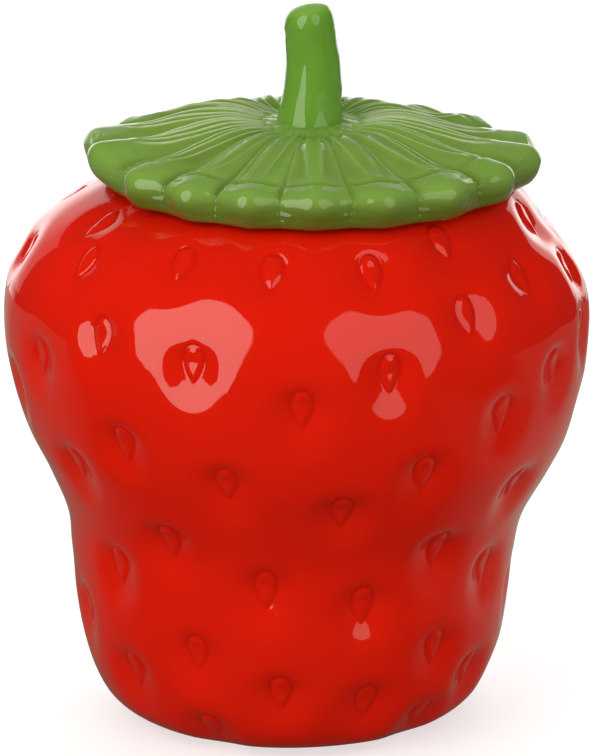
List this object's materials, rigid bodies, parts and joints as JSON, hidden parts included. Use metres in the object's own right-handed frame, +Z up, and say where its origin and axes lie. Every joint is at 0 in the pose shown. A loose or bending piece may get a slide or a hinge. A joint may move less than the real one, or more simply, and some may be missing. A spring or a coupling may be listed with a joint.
{
  "type": "ceramic storage jar",
  "caption": "Glazed ceramic storage jar shaped as a strawberry, with dimpled seeds and a loose leafy lid lifted by its stem.",
  "frame": {"origin": "on the surface the jar stands on, under the middle of the belly", "axes": "+Z up through the stem, -Y towards the front, +X to the right seen from the front"},
  "size_m": [0.19, 0.1892, 0.2353],
  "materials": {
    "red_glaze": "high gloss poured glaze",
    "leaf_glaze": "high gloss glaze, paler over the ridges",
    "stem_glaze": "high gloss glaze",
    "collar_glaze": "thin glaze, wiped",
    "seal_silicone": "matt translucent silicone"
  },
  "bodies": {
    "jar": {"jar_body": "red_glaze"},
    "seal": {"lid_seal_ring": "seal_silicone"},
    "lid": {"lid_crown": "leaf_glaze", "stem_handle": "stem_glaze", "lid_collar": "collar_glaze"}
  },
  "joints": [
    {"name": "lid_lift", "type": "slide", "parent": "jar", "child": "seal", "axis": [0, 0, 1], "range_m": [0, 0.11]},
    {"name": "lid_turn", "type": "hinge", "parent": "seal", "child": "lid", "pos_m": [0.005, 0, 0.182], "axis": [0, 0, 1], "continuous": true}
  ]
}
